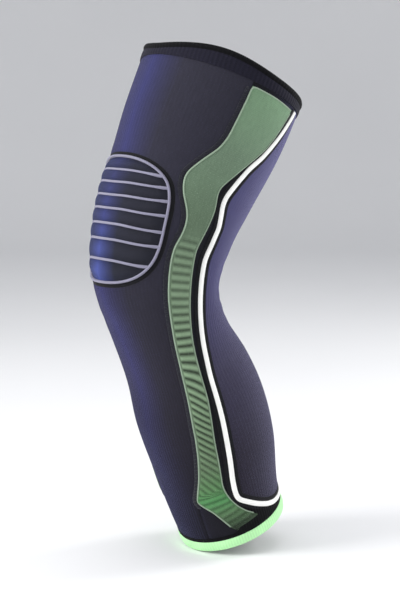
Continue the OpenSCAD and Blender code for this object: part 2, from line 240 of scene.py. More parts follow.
def slab(name, s, a, d1, d0, mats, index=(0, 0, 0), loop=False, bake=True, angle=40, soft=1.0, ribs=None):
    """A closed cloth slab over a grid of stations and angles. index is the material of its
    outer face, inner face and rim."""
    ni, nj = s.shape
    d1, d0 = np.broadcast_to(d1, s.shape), np.broadcast_to(d0, s.shape)
    out = surf(s, a, d1, soft).reshape(-1, 3)
    inn = surf(s, a, d0, soft).reshape(-1, 3)
    n = ni * nj
    ids = np.arange(n).reshape(ni, nj)
    low = ids + n
    f, bk, kn, mt = [], [], [], []
    if loop:
        s2, a2 = np.concatenate([s, s[:1]], 0), np.concatenate([a, a[:1]], 0)
    else:
        s2, a2 = s, a
    uu = np.broadcast_to(np.linspace(0, 1, nj)[None, :], s2.shape)
    vv = np.broadcast_to(np.linspace(0, 1, s2.shape[0])[:, None], s2.shape)
    q = quads(ids, loop)
    f.append(q); bk.append(corners(0.01 + 0.46 * uu, 0.01 + 0.98 * vv)); kn.append(corners(a2, s2)); mt.append(np.full(len(q), index[0]))
    q = quads(low, loop)[:, ::-1]
    f.append(q); bk.append(corners(0.49 + 0.43 * uu, 0.01 + 0.98 * vv)[:, ::-1]); kn.append(corners(a2, s2)[:, ::-1]); mt.append(np.full(len(q), index[1]))

    def rim(top, bottom, st, at, x):
        m = len(top) - 1
        t = np.linspace(0.01, 0.99, m + 1)
        q = np.stack([top[:-1], bottom[:-1], bottom[1:], top[1:]], -1)
        b = np.stack([np.stack([np.full(m, x), t[:-1]], -1), np.stack([np.full(m, x + 0.01), t[:-1]], -1),
                      np.stack([np.full(m, x + 0.01), t[1:]], -1), np.stack([np.full(m, x), t[1:]], -1)], 1)
        k = np.stack([np.stack([at[:-1], st[:-1]], -1), np.stack([at[:-1] + 1.5, st[:-1] + 0.5], -1),
                      np.stack([at[1:] + 1.5, st[1:] + 0.5], -1), np.stack([at[1:], st[1:]], -1)], 1)
        f.append(q); bk.append(b); kn.append(k); mt.append(np.full(m, index[2]))

    il, ll = (np.concatenate([ids, ids[:1]], 0), np.concatenate([low, low[:1]], 0)) if loop else (ids, low)
    rim(il[:, 0], ll[:, 0], s2[:, 0], a2[:, 0], 0.93)
    rim(il[::-1, -1], ll[::-1, -1], s2[::-1, -1], a2[::-1, -1], 0.945)
    if not loop:
        rim(ids[0, ::-1], low[0, ::-1], s[0, ::-1], a[0, ::-1], 0.96)
        rim(ids[-1], low[-1], s[-1], a[-1], 0.975)
    f = np.concatenate(f)
    # the rims above are wound one way; fix turns each one that runs against the skin faces it meets
    v = np.concatenate([out, inn])
    return mesh_object(name, v, fix(v, f, n_ok=2 * (ni - (0 if loop else 1)) * (nj - 1)),
                       np.concatenate(bk) if bake else None, np.concatenate(kn), mats, np.concatenate(mt), angle,
                       None if ribs is None else np.concatenate([corners(*ribs), np.zeros((len(f) - (ni - 1) * (nj - 1), 4, 2))]))


def fix(v, f, n_ok):
    """Turns each rim face so that it agrees with the skin faces that it meets."""
    key = {}
    for q in f[:n_ok]:
        for i in range(4):
            key[(q[i], q[(i + 1) % 4])] = 1
    g = f.copy()
    bad = []
    for k in range(n_ok, len(f)):
        q = f[k]
        if any((q[i], q[(i + 1) % 4]) in key for i in range(4)):
            bad.append(k)
    g[bad] = g[bad][:, ::-1]
    fix.flipped = bad
    return g


def path_frame(path, closed=False, soft=1.0, side=1):
    path = np.asarray(path, float)
    p = surf(path[:, 0], path[:, 1], 0, soft)
    n = normal(path[:, 0], path[:, 1], soft) * side
    if closed:
        t = np.roll(p, -1, 0) - np.roll(p, 1, 0)
    else:
        t = np.gradient(p, axis=0)
    t -= (t * n).sum(1)[:, None] * n
    t /= np.linalg.norm(t, axis=1, keepdims=True)
    return p, t, n, np.cross(t, n)


def sweep_parts(path, section, closed=False, taper=0.0, soft=1.0, side=1, scale=None):
    """Vertices and faces of a section swept along [s, a] points. The section is a closed
    polygon of (across, out) in mm; taper rounds the ends over that many mm."""
    p, t, n, b = path_frame(path, closed, soft, side)
    sec = np.asarray(section, float)
    m, k = len(p), len(sec)
    length = np.concatenate([[0], np.cumsum(np.linalg.norm(np.diff(p, axis=0), axis=1))])
    sc = np.ones(m) if scale is None else np.asarray(scale, float)
    if taper and not closed:
        # a minus sign keeps the far end square, where it meets its mirror image
        e = np.minimum(length, length[-1] - length) if taper > 0 else length
        taper = abs(taper)
        sc = sc * np.sqrt(np.clip(1 - (1 - np.clip(e / taper, 0, 1)) ** 2, 0.02, 1))
    v = p[:, None] + sc[:, None, None] * (b[:, None] * sec[None, :, :1] + n[:, None] * sec[None, :, 1:])
    v = v.reshape(-1, 3)
    ids = np.arange(m * k).reshape(m, k)
    ids = np.concatenate([ids, ids[:, :1]], 1)
    if closed:
        ids = np.concatenate([ids, ids[:1]], 0)
        length = np.concatenate([length, [length[-1] + np.linalg.norm(p[0] - p[-1])]])
    f = np.stack([ids[:-1, :-1], ids[1:, :-1], ids[1:, 1:], ids[:-1, 1:]], -1).reshape(-1, 4)
    around = np.concatenate([[0], np.cumsum(np.linalg.norm(np.diff(np.concatenate([sec, sec[:1]]), axis=0), axis=1))])
    uu, vv = np.meshgrid(around, length)
    g = np.stack([uu, vv], -1)
    kn = np.stack([g[:-1, :-1], g[1:, :-1], g[1:, 1:], g[:-1, 1:]], 2).reshape(-1, 4, 2)
    if not closed:
        caps_f, caps_k = [], []
        for row, flip in ((0, False), (m - 1, True)):
            c = len(v)
            v = np.concatenate([v, v[row * k:(row + 1) * k].mean(0, keepdims=True)])
            for j in range(k):
                x, y = row * k + j, row * k + (j + 1) % k
                q = (x, y, c, c) if not flip else (y, x, c, c)
                caps_f.append(q)
                caps_k.append([(0, length[row]), (0.5, length[row]), (0.2, length[row] + 0.5), (0.2, length[row] + 0.5)])
        f = np.concatenate([f, np.array(caps_f)])
        kn = np.concatenate([kn, np.array(caps_k, float)])
    vol = volume(v, f)
    if vol < 0:
        tri = f[:, 2] == f[:, 3]
        f2, k2 = f[:, ::-1].copy(), kn[:, ::-1].copy()
        f2[tri] = f[tri][:, [1, 0, 2, 3]]
        k2[tri] = kn[tri][:, [1, 0, 2, 3]]
        f, kn = f2, k2
    return v, f, kn


def volume(v, f):
    a, b, c, d = (v[f[:, i]] for i in range(4))
    return float((a * np.cross(b, c)).sum() + (a * np.cross(c, d)).sum()) / 6


def join(parts):
    v, f, k, n = [], [], [], 0
    for pv, pf, pk in parts:
        v.append(pv); f.append(pf + n); k.append(pk); n += len(pv)
    return np.concatenate(v), np.concatenate(f), np.concatenate(k)


def sweep(name, path, section, mats, **kw):
    angle = kw.pop("angle", 50)
    v, f, k = sweep_parts(path, section, **kw)
    return mesh_object(name, v, f, None, k, mats, None, angle)


def mirrored(part):
    v, f, k = part
    v = v * np.array([-1, 1, 1])
    tri = f[:, 2] == f[:, 3]
    f2, k2 = f[:, ::-1].copy(), k[:, ::-1].copy()
    f2[tri] = f[tri][:, [1, 0, 2, 3]]
    k2[tri] = k[tri][:, [1, 0, 2, 3]]
    return v, f2, k2


def mirror_object(o, name):
    """The same piece on the inner side: X turned round, faces flipped back."""
    me = o.data.copy()
    me.name = name
    co = np.zeros(len(me.vertices) * 3, np.float32)
    me.vertices.foreach_get("co", co)
    co = co.reshape(-1, 3)
    co[:, 0] *= -1
    me.vertices.foreach_set("co", co.ravel())
    me.flip_normals()
    me.update()
    m = bpy.data.objects.new(name, me)
    bpy.context.scene.collection.objects.link(m)
    return m


def half_round(width, height, n=9, sink=0.35):
    t = np.linspace(0, math.pi, n)
    top = np.stack([width / 2 * np.cos(t), height * np.sin(t) ** 0.75], -1)
    return np.concatenate([top, [(-width / 2 * 0.96, -sink), (width / 2 * 0.96, -sink)]])


def flat_tape(width, height, r=0.35, sink=0.3):
    w = width / 2
    return np.array([(w, 0.0), (w - 0.15, height * 0.7), (w - r, height), (0, height * 1.04), (-w + r, height),
                     (-w + 0.15, height * 0.7), (-w, 0.0), (-w * 0.96, -sink), (0, -sink), (w * 0.96, -sink)])


def round_wire(r, n=6, cy=0.0):
    t = np.linspace(0, 2 * math.pi, n, endpoint=False)
    return np.stack([r * np.cos(t), cy + r * np.sin(t)], -1)


def resample(path, step, smooth_mm=0.0, closed=False):
    """[s, a] points at even spacing on the surface; smooth_mm rounds the corners."""
    path = np.asarray(path, float)
    if closed:
        path = np.concatenate([path, path[:1]])
    fine = []
    for p, q in zip(path[:-1], path[1:]):
        t = np.linspace(0, 1, 30, endpoint=False)[:, None]
        fine.append(p + (q - p) * t)
    fine = np.concatenate(fine + [path[-1:]])
    xyz = surf(fine[:, 0], fine[:, 1], 0, 0)
    length = np.concatenate([[0], np.cumsum(np.linalg.norm(np.diff(xyz, axis=0), axis=1))])
    m = max(4, int(round(length[-1] / step)))
    t = np.linspace(0, length[-1], m + 1)
    out = np.stack([np.interp(t, length, fine[:, 0]), np.interp(t, length, fine[:, 1])], -1)
    if closed:
        out = out[:-1]
    if smooth_mm:
        k = max(1, int(round(smooth_mm / step)))
        for _ in range(3):
            if closed:
                e = np.concatenate([out[-k:], out, out[:k]])
                out = np.stack([np.convolve(e[:, j], np.ones(2 * k + 1) / (2 * k + 1), "same")[k:-k] for j in (0, 1)], -1)
            else:
                e = np.concatenate([2 * out[:1] - out[1:k + 1][::-1], out, 2 * out[-1:] - out[-k - 1:-1][::-1]])
                out = np.stack([np.convolve(e[:, j], np.ones(2 * k + 1) / (2 * k + 1), "same")[k:-k] for j in (0, 1)], -1)
    return out


# ---------------------------------------------------------------- materials
class Tree:
    def __init__(self, name):
        self.m = bpy.data.materials.new(name)
        self.m.use_nodes = True
        self.t = self.m.node_tree
        self.b = self.t.nodes["Principled BSDF"]

    def node(self, kind, **kw):
        n = self.t.nodes.new(kind)
        for k, v in kw.items():
            setattr(n, k, v)
        return n

    def link(self, a, b):
        self.t.links.new(a, b)

    def put(self, socket, value):
        if isinstance(value, bpy.types.NodeSocket):
            self.link(value, socket)
        else:
            socket.default_value = value

    def math(self, op, a, b=0.0, c=0.0, clamp=False):
        n = self.node("ShaderNodeMath", operation=op, use_clamp=clamp)
        for i, x in enumerate((a, b, c)):
            self.put(n.inputs[i], x)
        return n.outputs[0]

    def mix(self, f, a, b, blend="MIX"):
        n = self.node("ShaderNodeMix", data_type="RGBA", blend_type=blend)
        self.put(n.inputs[0], f)
        self.put(n.inputs[6], a if isinstance(a, bpy.types.NodeSocket) else (*a, 1))
        self.put(n.inputs[7], b if isinstance(b, bpy.types.NodeSocket) else (*b, 1))
        return n.outputs[2]

    def uv(self):
        n = self.node("ShaderNodeUVMap", uv_map="knit")
        s = self.node("ShaderNodeSeparateXYZ")
        self.link(n.outputs[0], s.inputs[0])
        return n.outputs[0], s.outputs[0], s.outputs[1]

    def noise(self, scale, detail=2.0, rough=0.5, vector=None, stretch=None):
        n = self.node("ShaderNodeTexNoise")
        n.inputs["Scale"].default_value = scale
        n.inputs["Detail"].default_value = detail
        n.inputs["Roughness"].default_value = rough
        if vector is None:
            vector = self.node("ShaderNodeTexCoord").outputs["Object"]
        if stretch:
            v = self.node("ShaderNodeVectorMath", operation="MULTIPLY")
            self.link(vector, v.inputs[0])
            v.inputs[1].default_value = stretch
            vector = v.outputs[0]
        self.link(vector, n.inputs["Vector"])
        return n.outputs["Fac"]

    def ramp(self, f, stops, mode="LINEAR"):
        n = self.node("ShaderNodeValToRGB")
        n.color_ramp.interpolation = mode
        while len(n.color_ramp.elements) < len(stops):
            n.color_ramp.elements.new(0.5)
        for e, (x, c) in zip(n.color_ramp.elements, stops):
            e.position = x
            e.color = (*c, 1)
        self.put(n.inputs[0], f)
        return n.outputs[0]

    def bump(self, height, strength, distance, normal=None):
        n = self.node("ShaderNodeBump")
        n.inputs["Strength"].default_value = strength
        n.inputs["Distance"].default_value = distance
        self.link(height, n.inputs["Height"])
        if normal is not None:
            self.link(normal, n.inputs["Normal"])
        return n.outputs[0]


def lin(r, g, b):
    """A colour given as 0 to 255 display values, made linear."""
    return tuple((x / 255 / 12.92) if x / 255 <= 0.04045 else ((x / 255 + 0.055) / 1.055) ** 2.4 for x in (r, g, b))


def knit(name, stops, wale=1.6, course=1.25, bump=0.55, heather=0.22, sheen=0.25, rough=0.82, fleck=None, along=(-236, 198), depth=0.0004,
         tint=(1, 1, 1), side=None, ribs=None, foot=None):
    """A fine jersey knit. stops are (station, colour) up the sleeve. The stitches are V shapes
    in the 'knit' map, whose units are millimetres at a middle girth."""
    t = Tree(name)
    vec, u, v = t.uv()
    fu = t.math("FRACT", t.math("DIVIDE", u, wale))
    leg = t.math("ABSOLUTE", t.math("SUBTRACT", fu, 0.5))                      # 0 mid wale, .5 between
    fv = t.math("FRACT", t.math("ADD", t.math("DIVIDE", v, course), t.math("MULTIPLY", leg, 1.5)))
    rung = t.math("SINE", t.math("MULTIPLY", fv, math.pi))
    two = t.math("SINE", t.math("MULTIPLY", leg, 2 * math.pi))                 # each leg of the V is a hump
    stitch = t.math("MULTIPLY", t.math("POWER", t.math("ADD", two, 0.02), 0.55), t.math("ADD", t.math("MULTIPLY", rung, 0.62), 0.38))
    span = along[1] - along[0]
    pos = t.math("DIVIDE", t.math("SUBTRACT", v, along[0]), span, clamp=True)
    base = t.ramp(pos, [((s - along[0]) / span, c) for s, c in stops])
    if side:
        # painted sheen: the colour is lighter and bluer over the middle of the panel and darkens towards its edges,
        # standing in for the sheen the light gives there
        painted_sheen_edge_stops, a0, a1 = side
        dark = t.ramp(pos, [((s - along[0]) / span, c) for s, c in painted_sheen_edge_stops])
        f = t.math("DIVIDE", t.math("SUBTRACT", t.math("ABSOLUTE", u), a0), a1 - a0, clamp=True)
        base = t.mix(t.math("POWER", f, 0.75), base, dark)
    if foot:
        f = t.math("ADD", t.math("ADD", v, 181.0), t.math("MULTIPLY", t.math("SUBTRACT", u, 31.5), 1.33))
        base = t.mix(t.math("LESS_THAN", f, 0.0), base, foot)
    # painted light and shade: the ribs map lightens the colour over the middle of each raised rib or pad and darkens it
    # in the hollows between them
    if ribs:
        rv = t.node("ShaderNodeUVMap", uv_map="ribs")
        rs = t.node("ShaderNodeSeparateXYZ")
        t.link(rv.outputs[0], rs.inputs[0])
        low, high, sharp = ribs
        w = t.math("POWER", t.math("ABSOLUTE", t.math("SINE", t.math("MULTIPLY", rs.outputs[0], math.pi))), sharp)
        painted_rib_light = t.math("ADD", t.math("MULTIPLY", w, high - low), low)
        painted_rib_light = t.math("ADD", t.math("MULTIPLY", t.math("SUBTRACT", painted_rib_light, 1.0), rs.outputs[1]), 1.0)
        rc = t.node("ShaderNodeCombineColor")
        for i in range(3):
            t.link(painted_rib_light, rc.inputs[i])
        base = t.mix(1.0, base, rc.outputs[0], "MULTIPLY")
    streak = t.noise(1.0, 3.0, 0.6, vec, (0.55, 0.12, 1))                      # heathered yarn, longer up the wale
    blot = t.noise(26.0, 2.0, 0.5)
    shade = t.math("ADD", t.math("MULTIPLY", t.math("SUBTRACT", streak, 0.5), heather * 2.2), t.math("MULTIPLY", t.math("SUBTRACT", blot, 0.5), 0.25))
    shade = t.math("ADD", shade, t.math("ADD", t.math("MULTIPLY", stitch, 0.36), 0.76))
    col = t.mix(1.0, base, t.node("ShaderNodeCombineColor").outputs[0], "MULTIPLY")
    comb = col.node.inputs[7].links[0].from_node
    for i in range(3):
        t.link(shade, comb.inputs[i])
    if fleck:
        dots = t.noise(1.0, 1.0, 0.5, vec, (1.9, 0.9, 1))
        f = t.math("MULTIPLY", t.math("SUBTRACT", dots, 0.60, clamp=True), 3.4, clamp=True)
        col = t.mix(f, col, fleck)
    t.link(col, t.b.inputs["Base Color"])
    t.link(t.math("ADD", t.math("MULTIPLY", blot, 0.12), rough - 0.06), t.b.inputs["Roughness"])
    t.b.inputs["Sheen Weight"].default_value = sheen
    t.b.inputs["Sheen Roughness"].default_value = 0.38
    t.b.inputs["Sheen Tint"].default_value = (*tint, 1)
    t.b.inputs["Specular IOR Level"].default_value = 0.2
    fuzz = t.noise(900.0, 2.0, 0.6)
    h = t.math("ADD", stitch, t.math("MULTIPLY", fuzz, 0.35))
    t.link(t.bump(h, bump, depth), t.b.inputs["Normal"])
    return t.m


def elastic(name, colour, rib=2.0, bump=0.7, rough=0.8, sheen=0.2, contrast=0.35, cross=1.0, spec=0.25):
    """Ribbed elastic tape: ribs along v with a fine cross weave."""
    t = Tree(name)
    vec, u, v = t.uv()
    r = t.math("ADD", t.math("MULTIPLY", t.math("SINE", t.math("MULTIPLY", u, 2 * math.pi / rib)), 0.5), 0.5)
    c = t.math("ADD", t.math("MULTIPLY", t.math("SINE", t.math("MULTIPLY", v, 2 * math.pi / cross)), 0.5), 0.5)
    h = t.math("ADD", t.math("MULTIPLY", r, 0.7), t.math("MULTIPLY", c, 0.3))
    n = t.noise(60.0, 3.0, 0.6)
    shade = t.math("ADD", t.math("MULTIPLY", h, contrast), t.math("ADD", t.math("MULTIPLY", n, 0.3), 0.85 - contrast / 2))
    comb = t.node("ShaderNodeCombineColor")
    for i in range(3):
        t.link(shade, comb.inputs[i])
    t.link(t.mix(1.0, colour, comb.outputs[0], "MULTIPLY"), t.b.inputs["Base Color"])
    t.link(t.math("ADD", t.math("MULTIPLY", n, 0.15), rough - 0.08), t.b.inputs["Roughness"])
    t.b.inputs["Sheen Weight"].default_value = sheen
    t.b.inputs["Specular IOR Level"].default_value = spec
    t.link(t.bump(t.math("ADD", h, t.math("MULTIPLY", t.noise(1100.0, 1.0), 0.25)), bump, 0.0004), t.b.inputs["Normal"])
    return t.m


def yarn(name, colour, pitch=1.5, bump=0.7, rough=0.75, contrast=0.3, sheen=0.2):
    """Braided cord or thick thread: slanting strands along v."""
    t = Tree(name)
    vec, u, v = t.uv()
    w = t.math("FRACT", t.math("ADD", t.math("DIVIDE", v, pitch), t.math("MULTIPLY", u, 0.45)))
    h = t.math("SINE", t.math("MULTIPLY", w, math.pi))
    n = t.noise(90.0, 2.0, 0.6)
    shade = t.math("ADD", t.math("MULTIPLY", h, contrast), t.math("ADD", t.math("MULTIPLY", n, 0.2), 0.9 - contrast * 0.6))
    comb = t.node("ShaderNodeCombineColor")
    for i in range(3):
        t.link(shade, comb.inputs[i])
    t.link(t.mix(1.0, colour, comb.outputs[0], "MULTIPLY"), t.b.inputs["Base Color"])
    t.link(t.math("ADD", t.math("MULTIPLY", n, 0.15), rough - 0.08), t.b.inputs["Roughness"])
    t.b.inputs["Sheen Weight"].default_value = sheen
    t.b.inputs["Specular IOR Level"].default_value = 0.3
    t.link(t.bump(h, bump, 0.0003), t.b.inputs["Normal"])
    return t.m


def silicone(name, colour, rough=0.32, sub=0.25, bump=0.15):
    t = Tree(name)
    n = t.noise(220.0, 3.0, 0.6)
    big = t.noise(35.0, 2.0, 0.5)
    c = t.mix(big, colour, tuple(min(1, x * 1.25 + 0.02) for x in colour))
    t.link(c, t.b.inputs["Base Color"])
    t.link(t.math("ADD", t.math("MULTIPLY", n, 0.2), rough - 0.08), t.b.inputs["Roughness"])
    t.b.inputs["Subsurface Weight"].default_value = sub
    t.b.inputs["Subsurface Radius"].default_value = (0.004, 0.004, 0.005)
    t.b.inputs["Subsurface Scale"].default_value = 0.6
    t.b.inputs["Specular IOR Level"].default_value = 0.5
    t.link(t.bump(n, bump, 0.0003), t.b.inputs["Normal"])
    return t.m


def steel(name):
    t = Tree(name)
    n = t.noise(500.0, 3.0, 0.6)
    t.link(t.mix(n, (0.50, 0.51, 0.53), (0.68, 0.69, 0.71)), t.b.inputs["Base Color"])
    t.b.inputs["Metallic"].default_value = 1.0
    t.link(t.math("ADD", t.math("MULTIPLY", n, 0.25), 0.2), t.b.inputs["Roughness"])
    return t.m


def plastic(name, colour):
    t = Tree(name)
    n = t.noise(700.0, 3.0, 0.6)
    big = t.noise(80.0, 2.0, 0.5)
    t.link(t.mix(big, colour, tuple(x * 0.88 for x in colour)), t.b.inputs["Base Color"])
    t.link(t.math("ADD", t.math("MULTIPLY", n, 0.2), 0.4), t.b.inputs["Roughness"])
    t.link(t.bump(n, 0.15, 0.0001), t.b.inputs["Normal"])
    return t.m


# painted light on the front panel: lighter and bluer from the knee up and darker towards the calf (painted shade);
# through side, bluer over the front centre than towards the bands (painted sheen)
NAVY = knit("navy_knit", [(-236, lin(16, 14, 20)), (-200, lin(18, 17, 26)), (-150, lin(22, 22, 40)), (-60, lin(38, 36, 72)), (60, lin(46, 47, 91)), (198, lin(44, 46, 88))],
            side=([(-236, lin(14, 12, 15)), (-200, lin(16, 14, 18)), (-150, lin(22, 19, 25)), (-60, lin(33, 31, 38)), (60, lin(41, 40, 52)), (198, lin(40, 39, 49))], 0.0, 28.0),
            fleck=lin(56, 54, 80), sheen=0.36, tint=(0.28, 0.28, 0.76))
NAVY_IN = knit("navy_knit_inside", [(-236, lin(38, 37, 54)), (198, lin(50, 50, 72))], bump=0.4)
# painted shade: the rear panel is lighter towards the thigh and darker towards the calf
VIOLET = knit("violet_knit", [(-236, lin(22, 18, 28)), (-150, lin(30, 26, 38)), (-70, lin(52, 49, 70)), (20, lin(62, 60, 98)), (198, lin(68, 67, 106))],
              fleck=lin(88, 84, 118), sheen=0.46, tint=(0.62, 0.60, 0.95))
VIOLET_IN = knit("violet_knit_inside", [(-236, lin(56, 53, 74)), (198, lin(66, 63, 90))], bump=0.4)
DARK = knit("dark_knit", [(-236, lin(12, 12, 15)), (198, lin(15, 15, 20))], heather=0.12, sheen=0.08)
SIDE = knit("side_knit", [(-236, lin(12, 12, 15)), (198, lin(15, 15, 20))], heather=0.12, sheen=0.36, tint=(0.28, 0.28, 0.70), foot=lin(18, 16, 22))
DARK_IN = knit("dark_knit_inside", [(-236, lin(34, 34, 46)), (198, lin(40, 40, 54))], heather=0.12)
# painted light on the kneecap: bluer and lighter at its lower end and over its middle (painted sheen), darker upwards
# and towards its sides (painted shade); through ribs, darker in the hollows beside the raised lines (painted shadow)
CAP_KNIT = knit("kneecap_knit", [(-236, lin(58, 66, 126)), (20, lin(62, 72, 134)), (50, lin(46, 50, 98)), (84, lin(38, 38, 68)), (198, lin(38, 38, 68))],
                side=([(-236, lin(28, 30, 34)), (198, lin(31, 31, 41))], 0.0, 19.0), heather=0.16, sheen=0.42, tint=(0.25, 0.32, 0.9), ribs=(0.25, 1.15, 0.9))
# through ribs the green is painted lighter on the raised ribs and darker between them: painted highlight and shade
GREEN = knit("green_knit", [(-236, lin(14, 18, 14)), (-220, lin(20, 26, 20)), (-211, lin(58, 78, 55)), (-200, lin(82, 112, 78)), (-184, lin(74, 130, 78)), (-172, lin(82, 120, 78)),
                            (-150, lin(90, 112, 84)), (-60, lin(108, 129, 103)), (30, lin(104, 124, 100)), (60, lin(94, 114, 92)), (120, lin(106, 128, 106)), (198, lin(118, 152, 118))],
             wale=1.6, course=1.5, fleck=lin(146, 166, 142), heather=0.18, sheen=0.15, ribs=(0.2, 1.62, 1.6))
GREEN_EDGE = yarn("green_edge", lin(140, 160, 138))
WELT = elastic("navy_welt", lin(27, 26, 38), rib=3.0, sheen=0.05, spec=0.12, rough=0.9)
BLACK = elastic("black_elastic", lin(10, 10, 13), rib=3.0, sheen=0.03, spec=0.12, rough=0.9)
MINT = elastic("mint_binding", lin(188, 246, 180), rib=3.0, contrast=0.16)
WHITE = yarn("white_piping", lin(250, 250, 246), contrast=0.10, pitch=1.2)
THREAD = yarn("seam_thread", lin(22, 22, 34), pitch=0.8)
LILAC = yarn("kneecap_line", lin(132, 130, 150), pitch=1.2, contrast=0.25)
TAPE = elastic("channel_tape", lin(30, 30, 44), rib=1.2, cross=0.9)
LABEL = elastic("label_tape", lin(232, 232, 226), rib=0.5, cross=0.5, contrast=0.08, bump=0.2)
GEL = silicone("silicone_gel", lin(150, 156, 178))
GRIP = silicone("silicone_grip", lin(214, 218, 224), rough=0.28)
STEEL = steel("spring_steel")
CAP = plastic("cap_plastic", lin(232, 232, 226))


def bend(o, slot, *nodes):
    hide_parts(*nodes)
    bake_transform(o)
    return o


def both(o, slot, *nodes):
    """o on the outer side and its twin on the inner side; nodes are named with 'lateral'."""
    twin = mirror_object(o, o.name.replace("lateral", "medial"))
    bend(o, slot, *nodes)
    bend(twin, slot, *[n.replace("lateral", "medial") for n in nodes])
    return o, twin


def grid(s0, s1, ds, left, right, nj):
    s = np.linspace(s0, s1, int(round((s1 - s0) / ds)) + 1)[:, None]
    v = np.linspace(0, 1, nj + 1)[None, :]
    l, r = left(s), right(s)
    return np.broadcast_to(s, (len(s), nj + 1)).copy(), l + (r - l) * v


def ribbed(a, pitch=3.0, amp=0.16):
    """Raised wales of a rib knit."""
    return amp * np.abs(np.cos(np.pi * a / pitch)) ** 1.5


def edge_dip(s, a, left, right, depth=0.55, mm=2.2):
    """The wall rolls down a little where it is sewn to its neighbour."""
    e = np.minimum(a - left, right - a) * 1.05
    return -depth * np.exp(-((e / mm) ** 2))


S_BOT, S_TOP = -227.0, 187.0
front_l = lambda s: -read(BAND_FRONT, s)
front_r = lambda s: read(BAND_FRONT, s)
line_l = lambda s: read(BAND_LINE, s)
line_r = lambda s: 360 - read(BAND_LINE, s)

s, a = grid(S_BOT, S_TOP, 3.0, front_l, front_r, 200)
d = ribbed(a) + edge_dip(s, a, front_l(s), front_r(s))
o = slab("front_panel", s, a, d, -2.0, [NAVY, NAVY_IN], (0, 1, 0), soft=1)
bend(o, "navy_knit", "front_panel_thigh", "front_panel_knee", "front_panel_calf")

s, a = grid(S_BOT, S_TOP, 3.0, line_l, line_r, 290)
d = ribbed(a) + edge_dip(s, a, line_l(s), line_r(s), 0.4)
o = slab("rear_panel", s, a, d, -2.0, [VIOLET, VIOLET_IN], (0, 1, 0))
bend(o, "violet_knit", "rear_panel_thigh", "rear_panel_knee", "rear_panel_calf")

s, a = grid(S_BOT, S_TOP, 3.0, front_r, line_l, 36)
o = slab("lateral_side_panel", s, a, edge_dip(s, a, front_r(s), line_l(s), 0.45), -2.0, [SIDE, DARK_IN], (0, 1, 0))
both(o, "green_knit", "lateral_band_thigh", "lateral_band_calf")

# green band with its ribs, and the foot that turns to the rear
rows = []
for st in np.arange(182.0, -174.1, -0.75):
    rows.append((st, float(read(BAND_FRONT, st)) + 0.6, st, float(read(BAND_REAR, st))))
FOOT = [(-174, 34.6, -174, 62.0), (-182.5, 31.6, -178.5, 63.0), (-188.5, 37.4, -185.5, 65.3), (-195, 44.8, -191, 68),
        (-203, 50.5, -197.5, 71.8), (-210, 55, -206, 79), (-217, 59, -213, 88), (-222, 64, -218.5, 97)]
fr = np.array(FOOT, float)
key = np.arange(len(fr))
t = np.linspace(0, len(fr) - 1, 84)[1:]
for q in zip(*[np.interp(t, key, fr[:, j]) for j in range(4)]):
    rows.append(q)
R = np.array(rows)
nb = 40
v = np.linspace(0, 1, nb + 1)[None, :]
s = R[:, :1] + (R[:, 2:3] - R[:, :1]) * v
a = R[:, 1:2] + (R[:, 3:4] - R[:, 1:2]) * v
s, a = s[::-1], a[::-1]
mid_s = (R[::-1, :1] + R[::-1, 2:3]) / 2
mm = (a - a[:, :1]) * 1.0
wide = (a[:, -1:] - a[:, :1]) * 1.0
e = np.minimum(mm, wide - mm)
edge = smooth(np.clip(e / 1.6, 0, 1))
strength = smooth((52 - mid_s) / 12) * (0.6 + 0.4 * smooth((5 - mid_s) / 50)) * (1 - 0.5 * smooth((-118 - mid_s) / 50))
foot = smooth((-174 - mid_s) / 6)
strength = strength * (1 - foot) + 0.45 * foot
# the ribs lie level at the knee and lean rearwards and down on the calf
lean_k = 0.06 + 0.80 * smooth((-34 - mid_s) / 70)
along = np.concatenate([[0], np.cumsum(np.hypot(np.diff(mid_s[:, 0]), np.diff(a.mean(1)) * 0.6))])[:, None]
phase = (mid_s * (1 - foot) + foot * (along - along[np.argmin(np.abs(mid_s[:, 0] + 174))] - 174) + lean_k * mm * (1 - foot)) / 6.4
wave = np.abs(np.sin(np.pi * phase)) ** 1.5
inside = smooth(np.clip((e - 1.4) / 1.4, 0, 1))
d = 0.10 + 0.75 * edge + 1.15 * strength * wave * inside
ends = smooth(np.clip((182.2 - s) / 1.4, 0, 1)) * (1 - 0.9 * smooth((-213 - mid_s) / 7))
d = 0.1 + (d - 0.1) * ends
# the ribs map carries the rib phase and strength that paint light on the rib crests and shade between them
o = slab("lateral_green_band", s, a, d, -0.4, [GREEN], ribs=(phase + np.zeros_like(s), strength * inside))
both(o, "green_knit", "lateral_band_knee", "lateral_ribs_knee", "lateral_ribs_calf", "lateral_band_foot")

# pale edge of the green band: round its foot, up the front edge, across the top and down the rear edge
path = ([(-215.5, 58.4), (-210, 55.2), (-203, 50.7), (-195, 45.2), (-188.5, 38.0), (-182.5, 32.2)]
        + [(st, float(read(BAND_FRONT, st)) + 0.6) for st in range(-174, 182, 4)]
        + [(181.6, float(read(BAND_FRONT, 181)) + 0.7), (181.8, 100), (181.4, float(read(BAND_REAR, 181)) - 0.5)])
o = sweep("lateral_band_edge", resample(path, 1.6, 1.6), half_round(1.5, 1.35, 7, 0.2), [GREEN_EDGE], taper=1.2)
both(o, "green_knit")
path = [(st, float(read(BAND_REAR, st)) - 0.5) for st in range(180, -174, -4)] + [(-178.5, 62.5), (-185.5, 64.8), (-191, 67.5), (-197.5, 71.4), (-206, 78.6), (-212, 86)]
o = sweep("lateral_band_rear_edge", resample(path, 1.6, 1.6), half_round(1.2, 1.15, 7, 0.2), [GREEN_EDGE], taper=1.2)
both(o, "green_knit")

